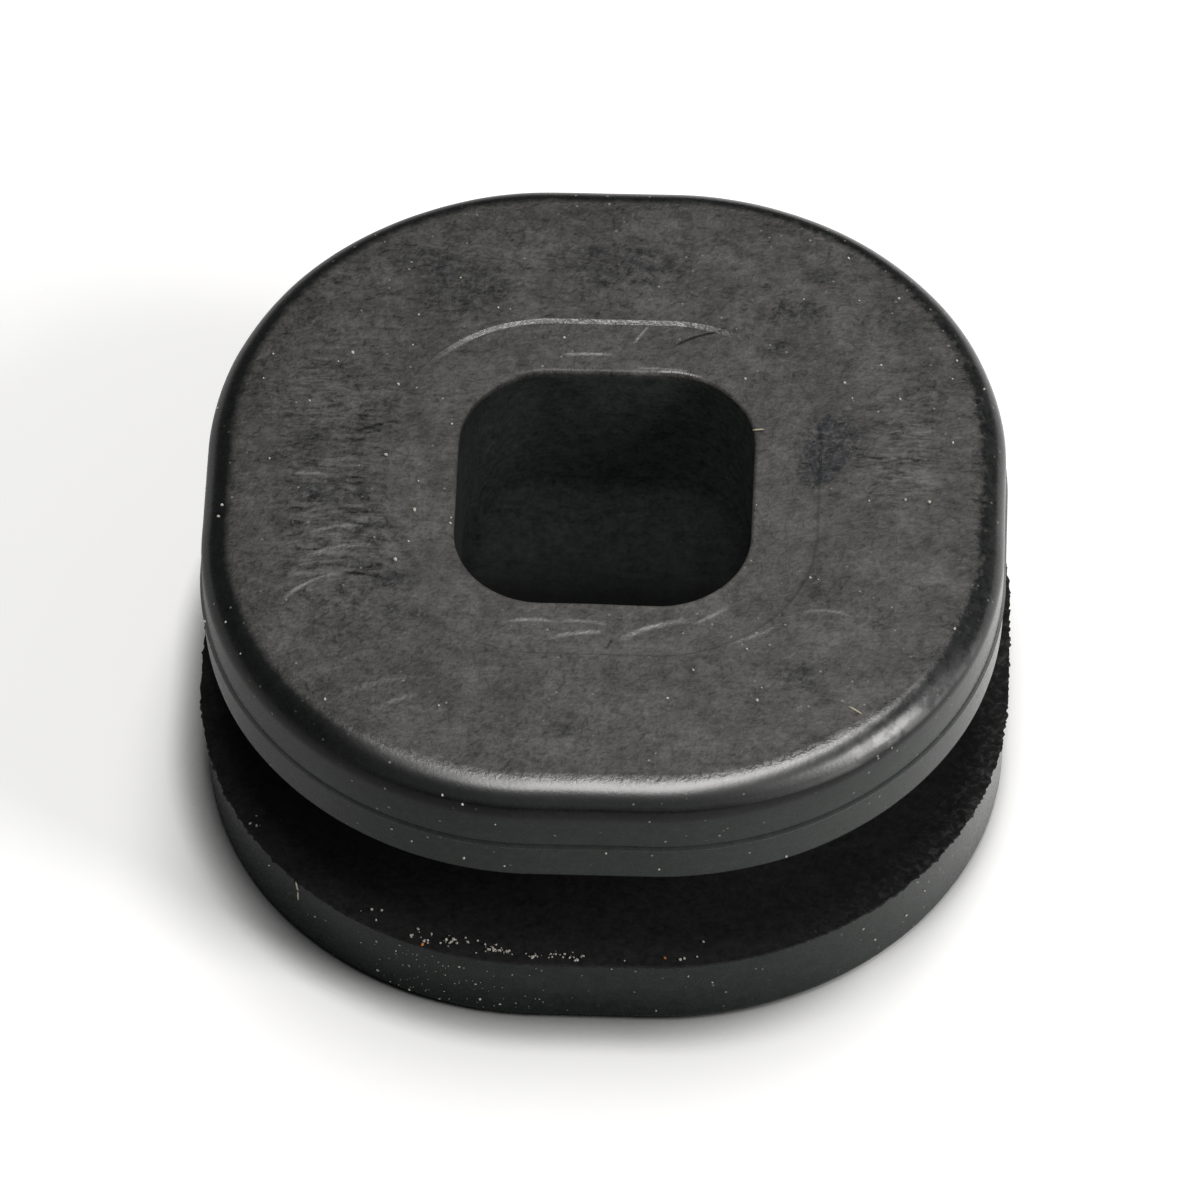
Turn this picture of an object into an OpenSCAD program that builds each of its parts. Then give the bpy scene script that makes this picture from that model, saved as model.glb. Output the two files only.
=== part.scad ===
// Rubber grommet: one moulded piece with two flanges, a groove between them for
// the edge of a panel, and a square blind hole with round corners in its top.
// Every outline is a square with round corners, and all of them share the same
// four corner centres, so the piece is one cross-section swept round a small
// square: straight along each side and a quarter turn at each corner.

/* [Outline] */
// Length of the straight run in the middle of each side
side_flat = 2.85; // [0.5:0.05:4.5]

/* [Upper flange] */
// Width of the upper flange, flat to flat
upper_flange_w = 20; // [17:0.1:26]
// Thickness of the upper flange
upper_flange_t = 2.9; // [2.4:0.1:5]
// Radius of the upper flange's top edge
top_edge_r = 0.75; // [0.1:0.05:0.9]

/* [Lower flange] */
// Width of the lower flange, flat to flat
lower_flange_w = 20.2; // [17:0.1:26]
// Thickness of the lower flange
lower_flange_t = 2.4; // [1.5:0.1:5]
// Radius of the lower flange's bottom edge
bottom_edge_r = 0.25; // [0.05:0.05:0.8]
// How far the thin flash round the lower flange's upper edge stands out
flash_out = 0.1; // [0.02:0.01:0.2]
// Height of that flash where it leaves the wall
flash_h = 0.25; // [0.15:0.05:0.5]
// Thickness of that flash at its outer edge
flash_t = 0.06; // [0.02:0.01:0.12]

/* [Groove] */
// Height of the groove, for the thickness of the panel
groove_h = 3.4; // [1:0.1:8]
// Width of the neck at the bottom of the groove, flat to flat
neck_w = 13.6; // [11.4:0.1:15.8]
// Radius where the neck runs into each flange
groove_root_r = 0.35; // [0.05:0.05:0.45]

/* [Blind hole] */
// Width of the hole, flat to flat
hole_w = 7.4; // [5:0.1:9]
// Depth of the hole below the top face
hole_depth = 4.5; // [1:0.1:8]
// Radius of the hole's upper edge
hole_edge_r = 0.1; // [0.02:0.01:0.3]
// Radius where the hole's wall runs into its floor
hole_root_r = 0.3; // [0.05:0.05:0.45]

/* [Mould marks] */
// Width of the shallow recess that the core leaves round the top of the hole
core_mark_w = 10.8; // [10.2:0.1:14]
// Depth of that recess
core_mark_depth = 0.06; // [0.01:0.01:0.2]
// Width of the slope at the edge of that recess
core_mark_slope = 0.1; // [0.02:0.01:0.2]
// Height of the parting ridge above the upper flange's lower face
parting_up = 1.1; // [0.3:0.1:1.2]
// How far the parting ridge stands out
parting_out = 0.06; // [0.02:0.01:0.15]
// Width of the parting ridge at its foot
parting_w = 0.24; // [0.1:0.02:0.4]

/* [Hidden] */
$fn = 96;

// Shapes that join or cut each other reach this far past the meeting line
lap = 0.2;

// Heights above the lower face
groove_floor_z = lower_flange_t;
groove_roof_z = groove_floor_z + groove_h;
top_z = groove_roof_z + upper_flange_t;
core_mark_z = top_z - core_mark_depth;
parting_z = groove_roof_z + parting_up;
hole_floor_z = top_z - hole_depth;

// Corner radius of an outline that is w wide, which is also how far that outline
// lies from the corner centre in the cross-section
function corner_r(w) = (w - side_flat) / 2;

hole_x = corner_r(hole_w);
core_mark_x = corner_r(core_mark_w);
neck_x = corner_r(neck_w);
upper_x = corner_r(upper_flange_w);
lower_x = corner_r(lower_flange_w);

// A level band of the cross-section, from the corner centre out to x
module band(x, z, h) {
    translate([0, z]) square([x, h]);
}

// What a convex round edge takes off a corner that has its tip at the origin and
// its material towards -X and -Y
module round_off(r) {
    difference() {
        translate([-r, -r]) square(r + lap);
        translate([-r, -r]) circle(r);
    }
}

// What a concave round adds in a corner that has its tip at the origin and its
// open side towards +X and +Y
module fill_in(r) {
    difference() {
        translate([-lap, -lap]) square(r + lap);
        translate([r, r]) circle(r);
    }
}

// The thin ridge that the joint of the mould leaves on the upper flange's wall
module parting_ridge() {
    translate([upper_x, parting_z]) polygon([
        [-lap, -parting_w / 2], [0, -parting_w / 2], [parting_out, 0],
        [0, parting_w / 2], [-lap, parting_w / 2]
    ]);
}

// The flash at the lower flange's upper edge, level with the groove's floor
module flash() {
    translate([lower_x, groove_floor_z]) polygon([
        [-lap, 0], [-lap, -flash_h], [0, -flash_h], [flash_out, -flash_t],
        [flash_out, 0]
    ]);
}

// The shallow recess round the top of the hole, with its sloping edge
module core_mark() {
    polygon([
        [hole_x - lap, core_mark_z], [core_mark_x - core_mark_slope, core_mark_z],
        [core_mark_x, top_z], [core_mark_x, top_z + lap], [hole_x - lap, top_z + lap]
    ]);
}

// Half of the blind hole, from the corner centre out to its wall
module hole() {
    difference() {
        translate([-lap, hole_floor_z]) square([hole_x + lap, hole_depth + lap]);
        translate([hole_x, hole_floor_z]) mirror([1, 0]) fill_in(hole_root_r);
    }
}

// The cross-section, with X measured from the corner centre and Y as height
module cross_section() {
    difference() {
        union() {
            band(lower_x, 0, lower_flange_t);
            band(neck_x, 0, top_z);
            band(upper_x, groove_roof_z, upper_flange_t);
            translate([neck_x, groove_floor_z]) fill_in(groove_root_r);
            translate([neck_x, groove_roof_z]) mirror([0, 1]) fill_in(groove_root_r);
            parting_ridge();
            flash();
        }
        translate([upper_x, top_z]) round_off(top_edge_r);
        translate([lower_x, 0]) mirror([0, 1]) round_off(bottom_edge_r);
        hole();
        core_mark();
        translate([hole_x, core_mark_z]) mirror([1, 0]) round_off(hole_edge_r);
    }
}

// The cross-section turned a quarter about one corner centre
module corner() {
    translate([side_flat / 2, side_flat / 2]) rotate_extrude(angle = 90) cross_section();
}

// The cross-section drawn out along the flat of one side
module side() {
    translate([side_flat / 2, side_flat / 2])
        rotate([90, 0, 0]) linear_extrude(side_flat) cross_section();
}

// The block under the hole's floor, inside the square of corner centres
module middle() {
    w = side_flat + 2 * lap;
    translate([-w / 2, -w / 2, 0]) cube([w, w, hole_floor_z]);
}

// The whole grommet, standing on its lower flange
module grommet() {
    color("#3f3e3d") union() {
        for (quarter = [0:3]) rotate(90 * quarter) {
            corner();
            side();
        }
        middle();
    }
}

grommet();
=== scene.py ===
import math
import random

import bmesh
import bpy
from mathutils import Matrix, Vector


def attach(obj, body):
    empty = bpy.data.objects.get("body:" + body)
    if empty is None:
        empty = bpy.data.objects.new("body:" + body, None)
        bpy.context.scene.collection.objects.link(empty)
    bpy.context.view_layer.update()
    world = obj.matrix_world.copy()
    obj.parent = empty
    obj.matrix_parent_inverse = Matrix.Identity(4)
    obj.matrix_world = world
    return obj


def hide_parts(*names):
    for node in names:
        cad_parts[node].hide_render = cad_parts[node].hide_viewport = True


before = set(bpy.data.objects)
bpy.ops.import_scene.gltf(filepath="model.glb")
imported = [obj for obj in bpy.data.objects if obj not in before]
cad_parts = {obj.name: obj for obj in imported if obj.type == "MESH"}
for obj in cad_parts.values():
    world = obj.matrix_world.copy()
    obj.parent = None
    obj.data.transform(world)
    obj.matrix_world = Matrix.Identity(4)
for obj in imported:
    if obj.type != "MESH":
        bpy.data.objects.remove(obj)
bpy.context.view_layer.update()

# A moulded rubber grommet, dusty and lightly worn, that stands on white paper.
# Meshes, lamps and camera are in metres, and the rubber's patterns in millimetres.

bpy.ops.object.select_all(action="DESELECT")
scene = bpy.context.scene


# GROMMET BODY
# One moulding in black rubber: two flanges, a groove between them and a blind hole.
# Its cross-section is drawn corner by corner, its edges are rounded, and it is then
# swept round the small square of corner centres that all its outlines share.

MM = 0.001
SIDE_FLAT = 2.85 * MM
HEIGHT = 8.7 * MM
UPPER_W = 20 * MM
LOWER_W = 20.2 * MM
UPPER_T = 2.9 * MM
LOWER_T = 2.4 * MM
NECK_W = 13.6 * MM
HOLE_W = 7.4 * MM
HOLE_DEPTH = 4.5 * MM
TOP_EDGE_R = 0.75 * MM
BOTTOM_EDGE_R = 0.25 * MM
GROOVE_ROOT_R = 0.35 * MM
HOLE_EDGE_R = 0.1 * MM
HOLE_ROOT_R = 0.3 * MM
# The shallow recess that the core leaves round the hole, with its sloping edge
CORE_MARK_W = 10.8 * MM
CORE_MARK_DEPTH = 0.06 * MM
CORE_MARK_SLOPE = 0.1 * MM
# The ridge along the parting of the mould, above the upper flange's lower face
PARTING_UP = 1.1 * MM
PARTING_OUT = 0.06 * MM
PARTING_W = 0.24 * MM
# The thin flash round the lower flange
FLASH_OUT = 0.1 * MM
FLASH_H = 0.25 * MM
FLASH_T = 0.06 * MM
# The torn edge of the flash leaves the face inside this width alone
FLASH_BACK = 0.15 * MM
# Steps of the sweep, close enough together for that torn edge
CORNER_STEPS = 176
FLAT_STEPS = 38
NEAR = 0.001 * MM


def select_where(test):
    """Selects the edit mesh's vertices that pass the test, and nothing else."""
    mesh = bmesh.from_edit_mesh(bpy.context.object.data)
    bpy.ops.mesh.select_all(action="DESELECT")
    for vertex in mesh.verts:
        vertex.select = test(vertex.co)
    mesh.select_flush_mode()
    bmesh.update_edit_mesh(bpy.context.object.data)


half = SIDE_FLAT / 2
hole_x = HOLE_W / 2
core_mark_x = CORE_MARK_W / 2
neck_x = NECK_W / 2
upper_x = UPPER_W / 2
lower_x = LOWER_W / 2
roof_z = HEIGHT - UPPER_T
parting_z = roof_z + PARTING_UP
core_z = HEIGHT - CORE_MARK_DEPTH
hole_floor_z = HEIGHT - HOLE_DEPTH
section = [
    (half, 0), (lower_x, 0), (lower_x, LOWER_T - FLASH_H),
    (lower_x + FLASH_OUT, LOWER_T - FLASH_T), (lower_x + FLASH_OUT, LOWER_T),
    (lower_x - FLASH_BACK, LOWER_T), (neck_x, LOWER_T), (neck_x, roof_z), (upper_x, roof_z),
    (upper_x, parting_z - PARTING_W / 2), (upper_x + PARTING_OUT, parting_z),
    (upper_x, parting_z + PARTING_W / 2), (upper_x, HEIGHT),
    (core_mark_x, HEIGHT), (core_mark_x - CORE_MARK_SLOPE, core_z), (hole_x, core_z),
    (hole_x, hole_floor_z), (half, hole_floor_z),
]
rounds = [
    (upper_x, HEIGHT, TOP_EDGE_R, 14), (lower_x, 0, BOTTOM_EDGE_R, 6),
    (neck_x, LOWER_T, GROOVE_ROOT_R, 6), (neck_x, roof_z, GROOVE_ROOT_R, 6),
    (hole_x, core_z, HOLE_EDGE_R, 5), (hole_x, hole_floor_z, HOLE_ROOT_R, 6),
]

# The section starts as one point, which is drawn out along each edge in turn
bpy.ops.mesh.primitive_plane_add(size=MM, location=(section[0][0], -half, section[0][1]))
body = bpy.context.object
body.name = "grommet_body"
bpy.ops.object.transform_apply(location=True, rotation=False, scale=False)
bpy.ops.object.mode_set(mode="EDIT")
bpy.ops.mesh.select_mode(type="VERT")
bpy.ops.mesh.merge(type="CENTER")
for (x0, z0), (x1, z1) in zip(section, section[1:]):
    bpy.ops.mesh.extrude_region_move(TRANSFORM_OT_translate={"value": (x1 - x0, 0, z1 - z0)})

# Its corners are rounded as a face, of which only the open outline is kept
bpy.ops.mesh.select_all(action="SELECT")
bpy.ops.mesh.edge_face_add()
for x, z, radius, segments in rounds:
    select_where(lambda co: abs(co.x - x) < NEAR and abs(co.z - z) < NEAR)
    bpy.ops.mesh.bevel(
        offset=radius, offset_type="OFFSET", segments=segments, profile=0.5, affect="VERTICES")
select_where(lambda co: abs(co.x - half) < NEAR)
bpy.ops.mesh.delete(type="EDGE_FACE")

# A quarter of the grommet: a turn about one corner centre, then one side's flat
bpy.ops.mesh.select_all(action="SELECT")
bpy.ops.mesh.spin(
    steps=CORNER_STEPS, dupli=False, angle=math.pi / 2, center=(half, -half, 0), axis=(0, 0, 1))
bpy.ops.mesh.extrude_region_move(TRANSFORM_OT_translate={"value": (-SIDE_FLAT, 0, 0)})
bpy.ops.mesh.select_mode(type="EDGE")
bpy.ops.mesh.select_all(action="DESELECT")
mesh = bmesh.from_edit_mesh(body.data)
for edge in mesh.edges:
    start, end = (vertex.co.x for vertex in edge.verts)
    edge.select_set(abs(start + end) < NEAR and abs(abs(start) - half) < NEAR)
bmesh.update_edit_mesh(body.data)
bpy.ops.mesh.subdivide(number_cuts=FLAT_STEPS - 1)

# Four quarters, and the squares inside the corner centres, make it whole
bpy.ops.mesh.select_mode(type="VERT")
bpy.ops.mesh.select_all(action="SELECT")
for _ in range(3):
    bpy.ops.mesh.duplicate()
    bpy.ops.transform.rotate(value=math.pi / 2, orient_axis="Z", center_override=(0, 0, 0))
bpy.ops.mesh.select_all(action="SELECT")
bpy.ops.mesh.remove_doubles(threshold=NEAR)
for z in (0, hole_floor_z):
    select_where(lambda co: abs(co.z - z) < NEAR and max(abs(co.x), abs(co.y)) < half + NEAR)
    bpy.ops.mesh.edge_face_add()
bpy.ops.mesh.select_all(action="SELECT")
bpy.ops.mesh.normals_make_consistent(inside=False)
bpy.ops.object.mode_set(mode="OBJECT")


def roughen(name, pitch, depth, level, weight):
    """Moves the surface by clouds of that pitch: out where they are above the level, or else in."""
    group = body.vertex_groups.new(name=name)
    for vertex in body.data.vertices:
        amount = weight(vertex.co)
        if amount > 0:
            group.add([vertex.index], amount, "REPLACE")
    texture = bpy.data.textures.new(name, "CLOUDS")
    texture.noise_scale = pitch
    modifier = body.modifiers.new(name, "DISPLACE")
    modifier.texture = texture
    modifier.texture_coords = "LOCAL"
    modifier.vertex_group = name
    modifier.strength = depth
    modifier.mid_level = level
    bpy.ops.object.modifier_apply(modifier=name)
    body.vertex_groups.remove(body.vertex_groups[name])


def flash_weight(co):
    """How much the flash is torn: most at the right and left, hardly at the front."""
    out = math.hypot(max(abs(co.x) - half, 0), max(abs(co.y) - half, 0)) + half - lower_x
    if out < FLASH_OUT / 2 or abs(co.z - LOWER_T) > 2 * FLASH_T:
        return 0
    return 0.15 + 0.85 * min(1, abs(co.x) / lower_x * 1.3) ** 3


# Uneven shrinkage as it cools, and the flash torn off by hand
roughen("shrinkage", 3.5 * MM, 0.04 * MM, 0.5, lambda co: min(1, co.z / LOWER_T))
roughen("torn_flash", 0.1 * MM, 0.22 * MM, 0.48, flash_weight)
bpy.ops.object.shade_smooth_by_angle(angle=math.radians(24))

# The parting ridge is rubbed round, so its outer edge shades softly, and the flash
# stands off the wall at a crisp line
bpy.ops.object.mode_set(mode="EDIT")
select_where(lambda co: abs(co.z - parting_z) < PARTING_W / 4 and math.hypot(co.x, co.y) > lower_x / 2)
bpy.ops.mesh.mark_sharp(clear=True)
select_where(lambda co: abs(co.z - LOWER_T + FLASH_H) < FLASH_T / 2)
bpy.ops.mesh.mark_sharp()
bpy.ops.object.mode_set(mode="OBJECT")
even_normals = body.modifiers.new("even_normals", "WEIGHTED_NORMAL")
even_normals.keep_sharp = True
bpy.ops.object.modifier_apply(modifier=even_normals.name)


# RUBBER
# Compression-moulded natural rubber filled with carbon black. A pale bloom of wax
# dulls the top face, except where it was rubbed off. The rounded edge stays black
# and shiny, the walls are a cool satin, and the groove and the hole are matt.


def linear(hex_colour):
    """An sRGB colour written as hex, as the linear RGBA that shaders take."""
    channels = [int(hex_colour[i:i + 2], 16) / 255 for i in (1, 3, 5)]
    return [c / 12.92 if c <= 0.04045 else ((c + 0.055) / 1.055) ** 2.4 for c in channels] + [1]


def add(tree, kind, sockets=None, output=0, **settings):
    """Adds a node with its settings, values and links, and gives one of its outputs."""
    node = tree.nodes.new("ShaderNode" + kind)
    for name, value in settings.items():
        setattr(node, name, value)
    for key, value in (sockets or {}).items():
        if isinstance(value, bpy.types.NodeSocket):
            tree.links.new(value, node.inputs[key])
        else:
            node.inputs[key].default_value = value
    return node.outputs[output] if node.outputs else None


def new_material(name):
    """A material whose node tree is empty."""
    material = bpy.data.materials.new(name)
    material.use_nodes = True
    material.node_tree.nodes.clear()
    return material, material.node_tree


rubber, tree = new_material("moulded_black_rubber")
metres = add(tree, "TexCoord", output="Object")
mm = add(tree, "VectorMath", {0: metres, "Scale": 1 / MM}, operation="SCALE")
plan = add(tree, "VectorMath", {0: mm, 1: (1, 1, 0)}, operation="MULTIPLY")
across = add(tree, "SeparateXYZ", {0: mm}, output="X")
along = add(tree, "SeparateXYZ", {0: mm}, output="Y")
height = add(tree, "SeparateXYZ", {0: mm}, output="Z")

# How far out a point lies from the square of corner centres
folded = add(tree, "VectorMath", {0: plan}, operation="ABSOLUTE")
beyond = add(tree, "VectorMath", {0: folded, 1: (half / MM, half / MM, 0)}, operation="SUBTRACT")
beyond = add(tree, "VectorMath", {0: beyond, 1: (0, 0, 0)}, operation="MAXIMUM")
reach = add(tree, "VectorMath", {0: beyond}, output="Value", operation="LENGTH")


def patches(places, core=0.4):
    """Soft oval patches on the top face, each given as x, y, width, depth and weight."""
    covered = 0.0
    for x, y, wide, deep, weight in places:
        offset = add(tree, "VectorMath", {
            0: plan, 1: (1 / wide, 1 / deep, 0), 2: (-x / wide, -y / deep, 0),
        }, operation="MULTIPLY_ADD")
        distance = add(tree, "VectorMath", {0: offset}, output="Value", operation="LENGTH")
        patch = add(tree, "MapRange", {0: distance, 1: 1, 2: core, 4: weight}, interpolation_type="SMOOTHSTEP")
        covered = add(tree, "Math", {0: covered, 1: patch}, operation="ADD")
    return covered


def scratches(marks):
    """Fine arcs on the top face: start, end, bow to the left, width, and strength."""
    marked = 0.0
    for start, end, bow, width, strength in marks:
        start = Vector((*start, 0))
        end = Vector((*end, 0))
        middle = (start + end) / 2
        reach_of_arc = (end - start).length / 2
        left = Vector((start.y - end.y, end.x - start.x, 0)).normalized()
        radius = (reach_of_arc ** 2 + bow ** 2) / (2 * abs(bow))
        centre = middle + left * (bow - math.copysign(radius, bow))
        distance = add(tree, "VectorMath", {0: plan, 1: centre}, output="Value", operation="DISTANCE")
        off = add(tree, "Math", {0: distance, 1: radius}, operation="SUBTRACT")
        off = add(tree, "Math", {0: off}, operation="ABSOLUTE")
        line = add(tree, "MapRange", {0: off, 1: width, 2: 0, 4: strength}, interpolation_type="SMOOTHSTEP")
        from_middle = add(tree, "VectorMath", {0: plan, 1: middle}, output="Value", operation="DISTANCE")
        taper = add(tree, "MapRange", {0: from_middle, 1: reach_of_arc, 2: reach_of_arc / 2})
        marked = add(tree, "Math", {0: line, 1: taper, 2: marked}, operation="MULTIPLY_ADD")
    return marked


# The bloomed top face. Its border with the black edge is ragged at the right.
ragged = add(tree, "TexNoise", {"Vector": mm, "Scale": 1 / 0.3, "Detail": 3, "Roughness": 0.65})
ragged = add(tree, "Math", {0: ragged, 1: 0.5}, operation="SUBTRACT")
raggedness = add(tree, "MapRange", {0: across, 1: 2, 2: 8, 3: 0.3, 4: 1.1})
border = add(tree, "Math", {0: ragged, 1: raggedness, 2: reach}, operation="MULTIPLY_ADD")
inside_edge = add(tree, "MapRange", {0: border, 1: 8.02, 2: 7.72})
at_top = add(tree, "MapRange", {0: height, 1: 8.4, 2: 8.55})
top_face = add(tree, "Math", {0: inside_edge, 1: at_top}, operation="MULTIPLY")

# The matt inside of the groove and of the hole
above_floor = add(tree, "MapRange", {0: height, 1: 2.36, 2: 2.4})
on_flash = add(tree, "MapRange", {0: height, 1: 2.17, 2: 2.25})
on_flash = add(tree, "MapRange", {0: reach, 1: 8.69, 2: 8.71, 4: on_flash})
above_floor = add(tree, "Math", {0: above_floor, 1: on_flash}, operation="MAXIMUM")
in_groove = add(tree, "MapRange", {0: height, 1: 5.84, 2: 5.8, 4: above_floor})
above_base = add(tree, "MapRange", {0: height, 1: 3.5, 2: 4})
in_hole = add(tree, "MapRange", {0: reach, 1: 2.38, 2: 2.32, 4: above_base})
inner = add(tree, "Math", {0: in_groove, 1: in_hole}, operation="MAXIMUM")
on_hole_floor = add(tree, "MapRange", {0: height, 1: 4.6, 2: 4.3, 4: in_hole})

# Scratches and marks, bright where the strength is above zero and dark below it
marks = scratches([
    ((2.9, 5.15), (1.5, 4.55), -0.12, 0.06, -1.0), ((0.55, 4.65), (0.95, 5.3), 0.02, 0.06, 1.0),
    ((-1.3, 4.27), (0.1, 4.3), 0.02, 0.07, 0.9), ((0.6, 3.86), (2.1, 3.78), 0.05, 0.05, 0.5),
    ((-2.4, -4.38), (-1.0, -4.34), 0.08, 0.09, 0.8), ((-1.2, -4.85), (0.2, -4.62), 0.06, 0.1, 0.9),
    ((0.5, -4.9), (2.4, -4.15), 0.14, 0.13, 0.9), ((2.3, -4.3), (3.3, -3.65), -0.05, 0.08, 0.8),
    ((0.22, -5.2), (0.42, -4.8), 0.02, 0.05, -0.5), ((4.9, -3.95), (6.3, -4.0), 0.16, 0.08, 0.5),
    ((-5.3, -7.2), (-4.2, -6.7), 0.05, 0.12, 0.35), ((-7.8, -3.9), (-6.3, -3.0), 0.2, 0.08, 0.8),
    ((-6.5, -3.0), (-5.0, -3.3), 0.1, 0.09, -0.7), ((-7.8, 0.15), (-6.9, 0.15), 0.02, 0.08, 0.6),
    ((-6.4, 1.5), (-5.0, 2.0), 0.05, 0.08, -0.4), ((-6.6, -7.1), (-3.9, -6.2), 0.25, 0.16, 0.25),
    ((-0.9, -4.3), (0.3, -4.4), 0.05, 0.08, 0.6), ((3.0, -5.0), (4.6, -4.2), -0.1, 0.07, 0.4),
    ((0.9, -4.55), (1.7, -4.35), 0.04, 0.07, 0.7), ((-7.6, -1.9), (-5.9, -1.5), 0.15, 0.1, 0.5),
    ((-7.4, -2.6), (-5.6, -2.1), 0.16, 0.12, 0.5), ((-7.5, -1.2), (-5.6, -1.0), 0.14, 0.09, -0.5),
])
marks = add(tree, "Math", {0: marks, 1: top_face}, operation="MULTIPLY")

# Where the rubber is shiny: the rounded edge, most of all at the front and the right,
# the scratches, and the back of the core mark's slope and of the hole's rim
edge = add(tree, "MapRange", {0: height, 1: 7.8, 2: 8.05})
frontal = add(tree, "VectorMath", {0: plan, 1: (0.45, -0.9, 0)}, output="Value", operation="DOT_PRODUCT")
frontal = add(tree, "MapRange", {0: frontal, 1: 4, 2: 8.5, 3: 0.12, 4: 1})
frontal = add(tree, "MapRange", {0: along, 1: -3.5, 2: -7.2, 3: 0.12, 4: frontal})
lower_at_right = add(tree, "MapRange", {0: across, 1: 3, 2: 6.5, 4: 0.14})
edge_height = add(tree, "Math", {0: height, 1: lower_at_right}, operation="ADD")
shiny = add(tree, "MapRange", {0: edge_height, 1: 8.3, 2: 8.42, 4: frontal})
right_flank = add(tree, "MapRange", {0: across, 1: 6.2, 2: 9, 4: 0.36})
left_flank = add(tree, "MapRange", {0: across, 1: -4.5, 2: -7, 4: 0.12})
flank = add(tree, "Math", {0: right_flank, 1: left_flank}, operation="ADD")
edge_reach = add(tree, "Math", {0: reach, 1: flank}, operation="SUBTRACT")
shiny = add(tree, "MapRange", {0: edge_reach, 1: 7.65, 2: 7.85, 4: shiny})
on_slope = add(tree, "Math", {0: reach, 1: 3.925, 2: 0.055}, operation="COMPARE")
on_slope = add(tree, "Math", {0: on_slope, 1: at_top}, operation="MULTIPLY")
# Polish at the back of the core mark's slope and of the hole's rim: real shine in the coat, and a painted
# highlight in the colour as well
back_polish_and_highlight = patches([(-0.7, 5.2, 4.7, 2.8, 1)], core=0.5)
on_rim = add(tree, "Math", {0: reach, 1: 2.36, 2: 0.03}, operation="COMPARE")
rim_polish_and_highlight = patches([(1.75, 3.75, 0.7, 0.6, 0.7), (-0.4, 3.75, 2.4, 0.6, 0.15)])
polish_and_painted_highlight = add(tree, "Math", {0: on_rim, 1: rim_polish_and_highlight}, operation="MULTIPLY")
polish_and_painted_highlight = add(tree, "Math", {0: on_slope, 1: back_polish_and_highlight, 2: polish_and_painted_highlight}, operation="MULTIPLY_ADD")
polish_and_painted_highlight = add(tree, "Math", {0: polish_and_painted_highlight, 1: at_top}, operation="MULTIPLY")
shiny = add(tree, "Math", {0: shiny, 1: polish_and_painted_highlight}, operation="MAXIMUM")
shiny = add(tree, "Math", {0: marks, 1: 0.5, 2: shiny}, operation="MULTIPLY_ADD", use_clamp=True)

# The top face is painted lighter towards the right and the front, and darker towards the back, as the light
# falls there: painted light.
# The bloom is thicker inside the core mark, most at its near side, thinner near the rim, and lies in clouds
# over a millimetre wide. It is rubbed off in cooler patches.
bloom_and_painted_light = add(tree, "VectorMath", {0: plan, 1: (0.016, -0.01, 0)}, output="Value", operation="DOT_PRODUCT")
inside_mark = add(tree, "MapRange", {0: reach, 1: 3.92, 2: 3.8})
near_side = add(tree, "MapRange", {0: along, 1: 2, 2: -3, 3: 0.04, 4: 0.16})
bloom_and_painted_light = add(tree, "Math", {0: inside_mark, 1: near_side, 2: bloom_and_painted_light}, operation="MULTIPLY_ADD")
thinner_rim = add(tree, "MapRange", {0: reach, 1: 7.0, 2: 7.7, 4: -0.14})
bloom_and_painted_light = add(tree, "Math", {0: bloom_and_painted_light, 1: thinner_rim}, operation="ADD")
clouds = add(tree, "TexNoise", {"Vector": mm, "Scale": 1 / 1.3, "Detail": 3, "Roughness": 0.6})
clouds = add(tree, "MapRange", {0: clouds, 1: 0.32, 2: 0.68})
rubbed = patches([
    (-3.8, 6.4, 1.7, 1.3, 0.9), (-4.8, 7.3, 1.1, 0.6, 0.7), (0.1, 7.2, 2.4, 1.2, 0.9),
    (4.5, 5.8, 1.3, 0.6, 1), (5.2, 7.0, 0.7, 0.4, 0.8), (4.2, 4.6, 0.7, 0.4, 1),
    (5.6, 1.5, 1.1, 1.5, 1.6), (5.2, 0.6, 0.6, 0.7, 1.3), (5.6, -3.1, 0.8, 0.7, 0.7),
    (6.9, -4.0, 0.6, 0.5, 0.6), (5.0, -5.9, 0.8, 0.7, 0.9), (4.0, -6.9, 0.5, 0.8, 0.6),
    (3.4, -6.3, 0.4, 0.4, 0.5), (-0.7, -7.6, 0.6, 0.5, 0.8), (-6.6, 1.3, 1.5, 0.8, 0.5),
    (-6.7, -0.4, 1.2, 0.5, 0.9), (-7.4, -0.5, 0.6, 0.4, 0.6), (-5.7, -1.6, 0.8, 0.8, 0.9),
    (-6.0, -2.7, 0.9, 0.3, 0.8), (-5.2, -3.2, 1.0, 0.5, 1), (-5.0, -4.2, 0.7, 0.4, 0.7),
    (-6.6, -4.9, 0.8, 0.6, 0.6), (7.2, 5.4, 1.2, 1.2, 0.5), (8.0, 3.4, 0.9, 1.8, 0.5),
])
breaks = add(tree, "TexNoise", {
    "Vector": mm, "Scale": 1 / 0.28, "Detail": 3, "Roughness": 0.8, "Distortion": 0.5,
})
breaks = add(tree, "MapRange", {0: breaks, 1: 0.4, 2: 0.6})
rubbed = add(tree, "Math", {0: rubbed, 1: breaks}, operation="MULTIPLY", use_clamp=True)

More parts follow.
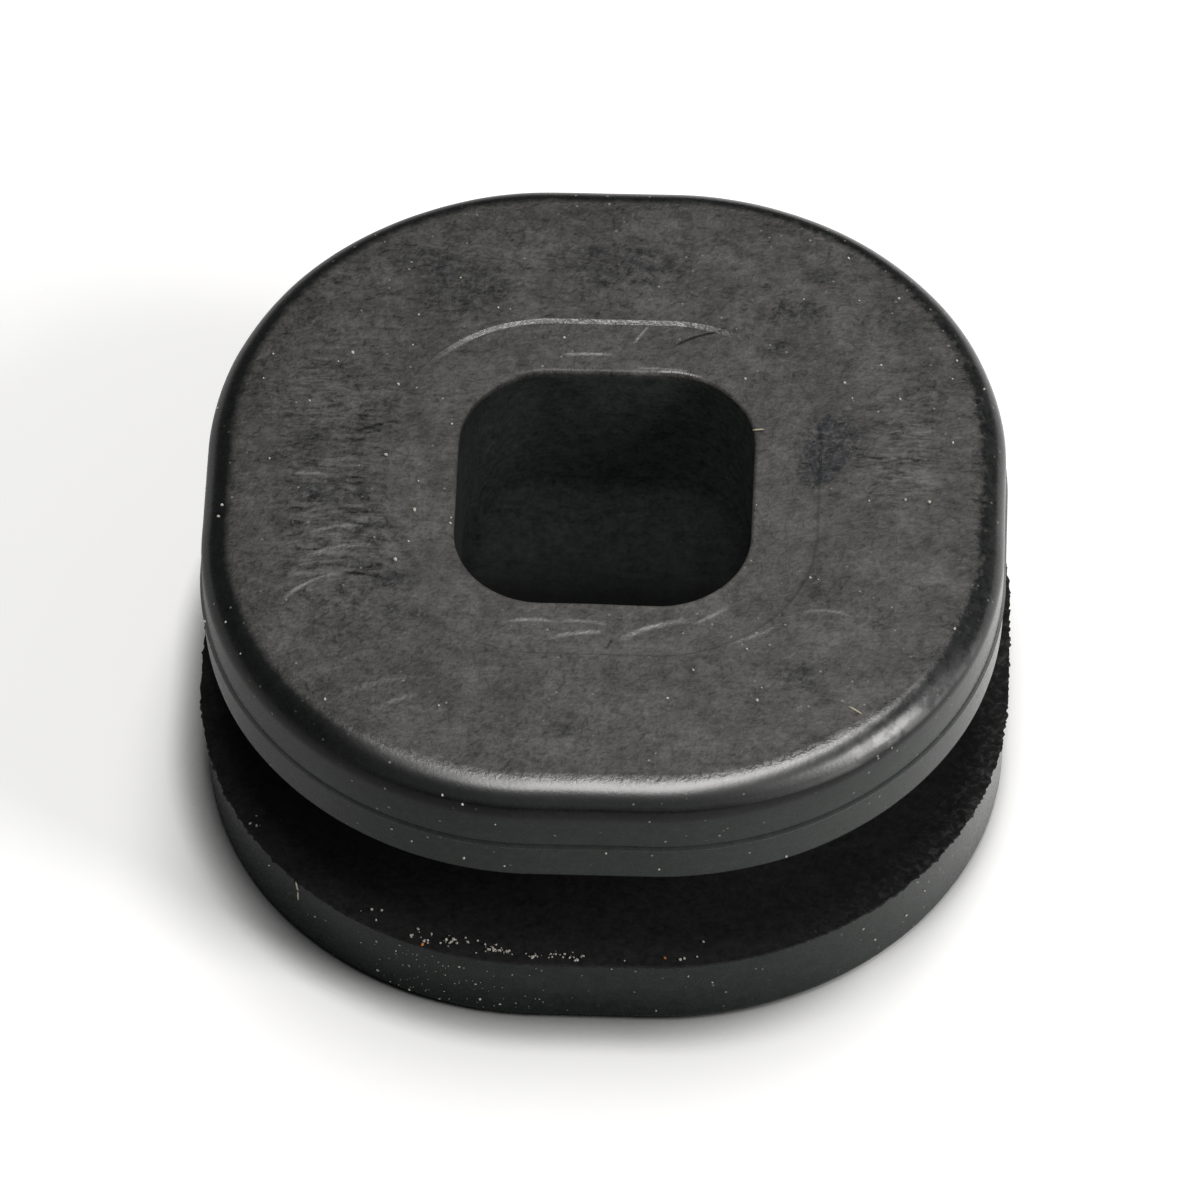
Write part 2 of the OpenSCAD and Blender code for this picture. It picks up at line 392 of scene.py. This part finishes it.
# Mottling under half a millimetre wide, which also leaves dull blotches in the shine at
# the right, lumps a fifth of one wide, and the finest grain
mottle = add(tree, "TexNoise", {"Vector": mm, "Scale": 1 / 0.45, "Detail": 3, "Roughness": 0.65})
mottle = add(tree, "Math", {0: mottle, 1: 0.5}, operation="SUBTRACT")
blotches = add(tree, "MapRange", {0: mottle, 1: -0.08, 2: 0.06, 3: 0.5})
blotches = add(tree, "MapRange", {0: across, 1: 5, 2: 7.5, 3: 1, 4: blotches})
shiny = add(tree, "Math", {0: shiny, 1: blotches}, operation="MULTIPLY")
lumps = add(tree, "TexNoise", {
    "Vector": mm, "Scale": 1 / 0.2, "Detail": 2, "Roughness": 0.6, "Distortion": 0.8,
})
lumps = add(tree, "Math", {0: lumps, 1: 0.5}, operation="SUBTRACT")
grain = add(tree, "TexNoise", {"Vector": mm, "Scale": 1 / 0.09, "Detail": 2, "Roughness": 0.6})
grain = add(tree, "Math", {0: grain, 1: 0.5}, operation="SUBTRACT")

# Fine streaks, strongest beside the left and right edges
drawn_out = add(tree, "Mapping", {"Vector": mm, "Rotation": (0, 0, math.radians(-8)), "Scale": (0.28, 1, 1)})
streaks = add(tree, "TexNoise", {
    "Vector": drawn_out, "Scale": 1 / 0.16, "Detail": 3, "Roughness": 0.6, "Distortion": 1,
})
streaks = add(tree, "Math", {0: streaks, 1: 0.5}, operation="SUBTRACT")
streaky = patches([(7.4, 1.3, 1.9, 3.2, 0.8), (-6.8, 1.2, 2.4, 3.6, 0.7), (-3, 6.2, 5, 2.4, 0.2)], core=0.2)
streaky = add(tree, "Math", {0: streaky, 1: 0.25}, operation="ADD")
streaks = add(tree, "Math", {0: streaks, 1: streaky}, operation="MULTIPLY")

# Short arcs where the rubber flowed slowly at the left, bent round a point at the front
flow = add(tree, "VectorMath", {0: plan, 1: (-6.2, -7.2, 0)}, operation="SUBTRACT")
flow_x = add(tree, "SeparateXYZ", {0: flow}, output="X")
flow_y = add(tree, "SeparateXYZ", {0: flow}, output="Y")
turned = add(tree, "Math", {0: flow_y, 1: flow_x}, operation="ARCTAN2")
turned = add(tree, "Math", {0: turned, 1: 1.6}, operation="MULTIPLY")
flowed = add(tree, "VectorMath", {0: flow}, output="Value", operation="LENGTH")
arcs = add(tree, "CombineXYZ", {0: turned, 1: flowed})
arcs = add(tree, "TexNoise", {
    "Vector": arcs, "Scale": 1 / 0.19, "Detail": 3, "Roughness": 0.55, "Distortion": 0.6,
})
arcs = add(tree, "Math", {0: arcs, 1: 0.5}, operation="SUBTRACT")
arced = patches([(-6.6, -2.2, 2.3, 3.2, 1), (-6.4, 3.4, 2.4, 2.0, 0.35)], core=0.3)
arcs = add(tree, "Math", {0: arcs, 1: arced}, operation="MULTIPLY")
arcs = add(tree, "Math", {0: arcs, 1: at_top}, operation="MULTIPLY")

# Pits where dust lay in the mould, shown only as painted shade, and specks of pale dust, in drifts
painted_pit_shade = add(tree, "TexVoronoi", {"Vector": mm, "Scale": 1 / 0.5, "Randomness": 1}, output="Distance")
painted_pit_shade = add(tree, "MapRange", {0: painted_pit_shade, 1: 0.13, 2: 0.04})
specks = add(tree, "TexVoronoi", {"Vector": mm, "Scale": 1 / 0.37, "Randomness": 1}, output="Distance")
drifts = add(tree, "TexNoise", {"Vector": mm, "Scale": 1 / 2, "Detail": 2})
drifts = add(tree, "MapRange", {0: drifts, 1: 0.42, 2: 0.6, 3: 0.15, 4: 0.8})
specks = add(tree, "MapRange", {0: specks, 1: 0.11, 2: 0.05, 4: drifts})
specks = add(tree, "MapRange", {0: inner, 1: 1, 2: 0, 4: specks})

# Colour, from the inside out: matt black, a cool skin, a black edge, a warm bloom
bloom = add(tree, "Mix", {0: clouds, 6: linear("#3c3b3a"), 7: linear("#4e4d4b")}, output=2, data_type="RGBA")
bloom = add(tree, "Mix", {0: rubbed, 6: bloom, 7: linear("#28292b")}, output=2, data_type="RGBA")
# Painted light: the black edge is painted greyer towards the right, where the lamps light that side, and
# blacker at the left.
edge_black_with_painted_light = add(tree, "MapRange", {0: across, 1: 6, 2: 9})
edge_black_with_painted_light = add(tree, "Mix", {0: edge_black_with_painted_light, 6: linear("#101111"), 7: linear("#1f2020")}, output=2, data_type="RGBA")
skin = add(tree, "Mix", {0: edge, 6: linear("#161d1a"), 7: edge_black_with_painted_light}, output=2, data_type="RGBA")
# Painted light and shade in the hole: its walls are painted lighter towards the right, the back and further
# down, where the lamps leave them darker, and darker at the left, where the lamp at the right lights them.
painted_hole_light = add(tree, "VectorMath", {0: mm, 1: (0.16, 0.02, -0.12)}, output="Value", operation="DOT_PRODUCT")
painted_hole_light = add(tree, "MapRange", {0: painted_hole_light, 1: -1.5, 2: 0.1})
hole = add(tree, "Mix", {0: painted_hole_light, 6: linear("#1a1d1c"), 7: linear("#525654")}, output=2, data_type="RGBA")
# Painted shade: the hole's floor is painted darker than its walls, darkest at its front, where the lamp
# overhead lights it most.
deep = add(tree, "MapRange", {0: along, 1: 0, 2: 3.5})
deep = add(tree, "Mix", {0: deep, 6: linear("#060707"), 7: linear("#2c2f2e")}, output=2, data_type="RGBA")
hole = add(tree, "Mix", {0: on_hole_floor, 6: hole, 7: deep}, output=2, data_type="RGBA")
# The groove's floor is lighter in lumpy patches near its outer edge at the right: torn rubber there, with
# painted light from the lamp at the right.
torn_and_painted_light = add(tree, "MapRange", {0: lumps, 1: 0, 2: 0.15})
torn_and_painted_light = add(tree, "MapRange", {0: reach, 1: 7.8, 2: 8.6, 4: torn_and_painted_light})
torn_and_painted_light = add(tree, "MapRange", {0: across, 1: 5, 2: 9, 4: torn_and_painted_light})
groove = add(tree, "Mix", {0: torn_and_painted_light, 6: linear("#202020"), 7: linear("#343534")}, output=2, data_type="RGBA")
inside = add(tree, "Mix", {0: in_hole, 6: groove, 7: hole}, output=2, data_type="RGBA")
skin = add(tree, "Mix", {0: inner, 6: skin, 7: inside}, output=2, data_type="RGBA")
colour = add(tree, "Mix", {0: top_face, 6: skin, 7: bloom}, output=2, data_type="RGBA")
shade = add(tree, "Math", {0: bloom_and_painted_light, 1: top_face, 2: 1}, operation="MULTIPLY_ADD")
# Painted light: the core mark's sloping edge is painted lighter, most at the right, so that the dark line its
# slope shades is faint.
painted_slope_light = add(tree, "MapRange", {0: across, 1: 2, 2: 5, 3: 0.15, 4: 0.55})
shade = add(tree, "Math", {0: on_slope, 1: painted_slope_light, 2: shade}, operation="MULTIPLY_ADD")
# Painted highlight: the polished back of the core mark's slope and of the hole's rim are painted lighter
shade = add(tree, "Math", {0: polish_and_painted_highlight, 1: 0.6, 2: shade}, operation="MULTIPLY_ADD")
shade = add(tree, "Math", {0: grain, 1: 1.0, 2: shade}, operation="MULTIPLY_ADD")
crinkled = add(tree, "Math", {0: rubbed, 1: 1.5, 2: 1.5}, operation="MULTIPLY_ADD")
shade = add(tree, "Math", {0: lumps, 1: crinkled, 2: shade}, operation="MULTIPLY_ADD")
shade = add(tree, "Math", {0: mottle, 1: 1.2, 2: shade}, operation="MULTIPLY_ADD")
shade = add(tree, "Math", {0: streaks, 1: 3.4, 2: shade}, operation="MULTIPLY_ADD")
shade = add(tree, "Math", {0: arcs, 1: 3.8, 2: shade}, operation="MULTIPLY_ADD")
shade = add(tree, "Math", {0: marks, 1: 1.3, 2: shade}, operation="MULTIPLY_ADD")
shade = add(tree, "Math", {0: painted_pit_shade, 1: -0.3, 2: shade}, operation="MULTIPLY_ADD")
colour = add(tree, "HueSaturation", {"Value": shade, "Color": colour})
colour = add(tree, "Mix", {0: specks, 6: colour, 7: linear("#8d8b86")}, output=2, data_type="RGBA")

# Roughness in the same order
roughness = add(tree, "Mix", {0: inner, 2: 0.25, 3: 1})
roughness = add(tree, "Mix", {0: top_face, 2: roughness, 3: 0.5})
roughness = add(tree, "Math", {0: grain, 1: 0.25, 2: roughness}, operation="MULTIPLY_ADD")

# Relief in millimetres
relief = add(tree, "Math", {0: lumps, 1: 0.03}, operation="MULTIPLY")
relief = add(tree, "Math", {0: grain, 1: 0.01, 2: relief}, operation="MULTIPLY_ADD")
rough_top = add(tree, "MapRange", {0: reach, 1: 8.0, 2: 7.7, 4: at_top})
relief = add(tree, "Math", {0: relief, 1: rough_top}, operation="MULTIPLY")
relief = add(tree, "Math", {0: grain, 1: 0.003, 2: relief}, operation="MULTIPLY_ADD")
bump = add(tree, "Bump", {"Height": relief, "Distance": MM})
rubber_shader = add(tree, "BsdfPrincipled", {
    "Base Color": colour, "Roughness": roughness, "Normal": bump, "IOR": 1.28,
    "Coat Weight": shiny, "Coat IOR": 1.9, "Coat Roughness": 0.36, "Coat Normal": bump,
})
add(tree, "OutputMaterial", {"Surface": rubber_shader})
body.data.materials.append(rubber)
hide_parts("grommet")
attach(body, "root")


# DUST
# Grains of mineral dust, a little under a tenth of a millimetre across, that cling
# to the upper flange and lie along the front of the lower one, with two of rust and
# a few short ends of lint.

GRAIN_WIDTH = 0.07 * MM
GRAIN_SINK = 0.25
CLINGING = [
    (-3.9, 6.65), (-4.9, 5.4), (-2.9, 5.7), (-2.6, 5.65), (-5.0, 4.4), (-6.85, 3.8), (-6.5, 4.1),
    (-8.5, 4.0), (-8.7, 3.2), (-5.3, 3.1), (-7.5, 2.5), (-3.9, 1.9), (-8.4, 0.6), (-5.5, 0.8),
    (-1.2, 4.8), (4.8, 6.2), (5.9, 7.6), (7.2, 6.3), (6.2, 6.2), (3.4, 3.6), (5.9, 3.5), (6.1, 3.0),
    (8.6, 3.7), (8.7, 4.3), (9.4, 3.5), (7.3, 3.0), (6.8, 4.1), (6.6, -0.3), (8.1, -0.3),
    (7.5, -0.25), (-4.7, -0.9), (-4.8, -1.9), (-4.65, 0.03), (-5.1, -2.5), (-3.8, -7.1), (1.8, -6.7),
    (3.7, -5.1), (2.4, -5.8), (4.1, -6.3), (4.0, -6.7), (8.8, -4.3), (5.2, -2.8), (5.4, -2.85),
    (-9.57, -1.25), (-9.5, -0.9), (-9.2, -4.48), (-8.78, -5.44), (-9.82, 2.46), (-9.77, -4.06),
    (8.65, 1.63), (-6.6, -7.0), (-3.6, -9.6), (3.8, -0.47), (-3.78, -1.12), (-3.79, -1.3),
]
# Drifts along the front of the lower flange: place, number of grains and spread
DRIFTS = [
    (-4.3, -9.5, 16, 0.2), (-3.5, -9.6, 16, 0.14), (-2.5, -9.82, 26, 0.12), (-2.15, -9.85, 12, 0.08),
    (-1.5, -10.0, 10, 0.12), (-0.95, -9.95, 10, 0.14), (-0.45, -10.0, 14, 0.13), (-3.0, -9.7, 8, 0.3),
    (-5.6, -8.95, 9, 0.35), (0.6, -10.1, 6, 0.3), (2.6, -9.9, 6, 0.6), (-8.6, -6.0, 4, 0.2),
]
# Specks on the front walls, given as x and height, on the upper wall and on the lower
ON_UPPER_WALL = [
    (-3.1, 8.3), (-2.3, 7.7), (-4.4, 6.3), (-4.9, 6.5), (-3.1, 6.15), (-2.1, 6.05), (0.4, 6.7),
    (1.7, 6.1), (4.8, 5.85),
]
ON_LOWER_WALL = [
    (-5.4, 0.5), (-5.8, 1.35), (-5.4, 1.7), (-3.3, 1.75), (-2.8, 0.55), (-2.9, 1.15), (-2.3, 0.45),
    (0.5, 2.1), (1.6, 0.4), (2.4, 1.8), (3.0, 1.45), (-4.6, 0.2), (-8.2, 1.7), (-7.0, 1.25),
    (-4.9, 1.65), (-4.8, 1.95), (8.21, 1.32), (7.77, 0.95), (7.0, 0.88), (6.71, 1.62), (4.81, 2.3),
]
LINT = [
    ((3.62, 1.93, 8.66), (3.94, 1.94, 8.7), 0.05), ((6.23, -6.79, 8.7), (6.6, -7.03, 8.69), 0.06),
    ((-7.47, -7.86, 2.42), (-7.4, -7.94, 2.1), 0.05), ((-7.4, -7.94, 2.1), (-7.43, -7.93, 1.75), 0.05),
]

dust_material, tree = new_material("mineral_dust")
grey = add(tree, "BsdfPrincipled", {"Base Color": linear("#b9b5ad"), "Roughness": 0.9})
add(tree, "OutputMaterial", {"Surface": grey})
rust_material, tree = new_material("rust_dust")
orange = add(tree, "BsdfPrincipled", {"Base Color": linear("#c0763c"), "Roughness": 0.9})
add(tree, "OutputMaterial", {"Surface": orange})
lint_material, tree = new_material("cotton_lint")
cream = add(tree, "BsdfPrincipled", {"Base Color": linear("#b5ae97"), "Roughness": 0.9})
add(tree, "OutputMaterial", {"Surface": cream})

bpy.ops.object.select_all(action="DESELECT")
bpy.ops.mesh.primitive_ico_sphere_add(subdivisions=1, radius=GRAIN_WIDTH / 2)
pattern = bpy.context.object
dice = random.Random(7)
grains = []


def copy_grain(place, scale, material):
    """A copy of the grain pattern with its own mesh, at a place."""
    piece = pattern.copy()
    piece.data = pattern.data.copy()
    piece.data.materials.append(material)
    piece.location = place
    piece.scale = scale
    scene.collection.objects.link(piece)
    grains.append(piece)
    return piece


def grain_at(x, y, z, size, material):
    """A grain turned and stretched by chance, a little sunk in the surface."""
    scale = [size * dice.uniform(0.7, 1.3) for _ in range(3)]
    piece = copy_grain((x, y, z + GRAIN_WIDTH * size * GRAIN_SINK), scale, material)
    piece.rotation_euler = [dice.uniform(0, math.pi) for _ in range(3)]


def out_from_centres(x, y):
    """How far out a place lies from the square of corner centres."""
    return math.hypot(max(abs(x) - half, 0), max(abs(y) - half, 0))


def upper_surface(x, y):
    """The height of the upper flange's top at a place: core mark, flat or rounded edge."""
    if out_from_centres(x, y) < core_mark_x - half - CORE_MARK_SLOPE:
        return core_z
    over =max(0, out_from_centres(x, y) - (upper_x - half - TOP_EDGE_R))
    return HEIGHT - TOP_EDGE_R + math.sqrt(max(0, TOP_EDGE_R ** 2 - over ** 2))


for x, y in CLINGING:
    grain_at(x * MM, y * MM, upper_surface(x * MM, y * MM), dice.uniform(0.7, 1.4), dust_material)
for x, y, number, spread in DRIFTS:
    for _ in range(number):
        place = Vector((dice.gauss(x, spread) * MM, dice.gauss(y, spread / 2) * MM, 0))
        if out_from_centres(place.x, place.y) < lower_x - half:
            grain_at(place.x, place.y, LOWER_T, dice.uniform(0.3, 1.15), dust_material)
def on_front_wall(x, z, width, size):
    """A grain on the front wall of the flange that is twice that wide."""
    over = max(abs(x) - half, 0)
    y = -half - math.sqrt((width - half) ** 2 - over ** 2)
    grain_at(x, y, z, size, dust_material)


for x, z in ON_UPPER_WALL:
    on_front_wall(x * MM, z * MM, upper_x, dice.uniform(0.8, 1.3))
for x, z in ON_LOWER_WALL:
    on_front_wall(x * MM, z * MM, lower_x, dice.uniform(0.7, 1.1))
# Finer dust that fell from the drifts on to the wall below them
for _ in range(90):
    x = dice.gauss(-3.8, 1.4) * MM
    on_front_wall(x, dice.uniform(0.15, 2.1) * MM, lower_x, dice.uniform(0.2, 0.5))
for x, y in ((-4.21, -9.72), (1.82, -9.95)):
    grain_at(x * MM, y * MM, LOWER_T, 1.1, rust_material)
for start, end, width in LINT:
    start = Vector(start) * MM
    end = Vector(end) * MM
    thin = width * MM / GRAIN_WIDTH
    piece = copy_grain((start + end) / 2, (thin, thin, (end - start).length / GRAIN_WIDTH), lint_material)
    piece.rotation_mode = "QUATERNION"
    piece.rotation_quaternion = (end - start).to_track_quat("Z", "Y")

bpy.ops.object.select_all(action="DESELECT")
bpy.data.objects.remove(pattern)
for piece in grains:
    piece.select_set(True)
bpy.context.view_layer.objects.active = grains[0]
bpy.ops.object.join()
dust = bpy.context.object
dust.name = "dust_grains"
bpy.ops.object.transform_apply(location=True, rotation=True, scale=True)
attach(dust, "root")


# WHITE SURFACE
# A sheet of matt white paper, a good deal wider than the picture. It takes the soft shadow and lights the
# walls from below.
# Close to the rubber a painted contact shadow darkens it further, deep at the left and the front and faint at
# the right.
# Seen directly it is a little whiter than the light that it throws back, and mirrored in the walls it is
# painted dimmer at the left and brighter at the right: painted reflection.

PAPER_WIDTH = 1200 * MM
PAPER_WHITE = (1.16, 1.16, 1.16, 1)
# The width of the painted contact shadow close to the rubber
CONTACT_WIDTH = 1.2 * MM

bpy.ops.object.select_all(action="DESELECT")
bpy.ops.mesh.primitive_plane_add(size=PAPER_WIDTH)
paper = bpy.context.object
paper.name = "white_surface"
paper_material, tree = new_material("matt_white_paper")
place = add(tree, "TexCoord", output="Object")
place = add(tree, "SeparateXYZ", {0: place}, output="X")
# Painted reflection: mirrored in the walls, the paper is painted dimmer at the left and brighter at the right
painted_reflection_to_right = add(tree, "MapRange", {0: place, 1: -9 * MM, 2: 9 * MM, 3: 0.6, 4: 1.3})
seen = add(tree, "LightPath", output="Is Camera Ray")
mirrored = add(tree, "LightPath", output="Is Glossy Ray")
white = add(tree, "Mix", {0: mirrored, 6: linear("#fbfbfb"), 7: painted_reflection_to_right}, output=2, data_type="RGBA")
white = add(tree, "Mix", {0: seen, 6: white, 7: PAPER_WHITE}, output=2, data_type="RGBA")
# Painted shadow: the paper's colour is darkened close to the rubber, deep at the left and the front and faint
# at the right
painted_contact_shadow = add(tree, "AmbientOcclusion", {"Distance": CONTACT_WIDTH}, output="AO", samples=4)
depth = add(tree, "MapRange", {0: place, 1: MM, 2: 7 * MM, 3: 2.5, 4: 0.2})
painted_contact_shadow = add(tree, "Math", {0: painted_contact_shadow, 1: depth}, operation="POWER")
white = add(tree, "Mix", {0: painted_contact_shadow, 6: (0, 0, 0, 1), 7: white}, output=2, data_type="RGBA")
paper_shader = add(tree, "BsdfDiffuse", {"Color": white, "Roughness": 0.3})
add(tree, "OutputMaterial", {"Surface": paper_shader})
paper.data.materials.append(paper_material)


# LIGHT
# A long soft box overhead, a little behind, gives the streak along the front edge. A
# lower one at the right front gives the second streak there, and the room is dim.


def soft_box(name, place, wide, deep, watts, colour):
    """An area light that looks at the grommet."""
    data = bpy.data.lights.new(name, "AREA")
    data.shape = "RECTANGLE"
    data.size = wide
    data.size_y = deep
    data.energy = watts
    data.color = linear(colour)[:3]
    light = bpy.data.objects.new(name, data)
    light.location = place
    towards = Vector((0, 0, HEIGHT / 2)) - Vector(place)
    light.rotation_mode = "QUATERNION"
    light.rotation_quaternion = towards.to_track_quat("-Z", "Y")
    scene.collection.objects.link(light)


soft_box("overhead", (16 * MM, 66 * MM, 402 * MM), 110 * MM, 373 * MM, 1.27, "#fffdfc")
soft_box("right_front", (326 * MM, -123 * MM, 182 * MM), 130 * MM, 270 * MM, 1.0, "#fffdfc")

world = bpy.data.worlds.new("room")
scene.world = world
world.use_nodes = True
world.node_tree.nodes.clear()
room = add(world.node_tree, "Background", {"Color": linear("#eef8f3"), "Strength": 0.12})
add(world.node_tree, "OutputWorld", {"Surface": room})


# CAMERA
# A long lens looks down on the grommet from in front, a little to its right, and is
# rolled slightly, as a close-up held by hand is.

LENS_MM = 331
SENSOR_MM = 36
CAMERA_DISTANCE = 275 * MM
CAMERA_AZIMUTH = math.radians(2.78)
CAMERA_ELEVATION = math.radians(50.8)
CAMERA_ROLL = math.radians(-0.77)
# The picture's centre lies this far from the middle of the top face
AIM_RIGHT = -0.114 * MM
AIM_UP = -2.857 * MM

back = Vector((
    math.sin(CAMERA_AZIMUTH) * math.cos(CAMERA_ELEVATION),
    -math.cos(CAMERA_AZIMUTH) * math.cos(CAMERA_ELEVATION),
    math.sin(CAMERA_ELEVATION),
))
level_right = Vector((math.cos(CAMERA_AZIMUTH), math.sin(CAMERA_AZIMUTH), 0))
level_up = back.cross(level_right)
right = level_right * math.cos(CAMERA_ROLL) + level_up * math.sin(CAMERA_ROLL)
up = back.cross(right)
place = Vector((0, 0, HEIGHT)) + back * CAMERA_DISTANCE
aim = Vector((0, 0, HEIGHT)) + right * AIM_RIGHT + up * AIM_UP
back = (place - aim).normalized()
up = back.cross(right).normalized()
right = up.cross(back)

camera_data = bpy.data.cameras.new("camera")
camera_data.lens = LENS_MM
camera_data.sensor_width = SENSOR_MM
camera_data.clip_start = 10 * MM
camera_data.clip_end = 3
camera = bpy.data.objects.new("camera", camera_data)
turn = Matrix((right, up, back)).transposed().to_4x4()
camera.matrix_world = Matrix.Translation(place) @ turn
scene.collection.objects.link(camera)
scene.camera = camera
scene.view_settings.view_transform = "Standard"
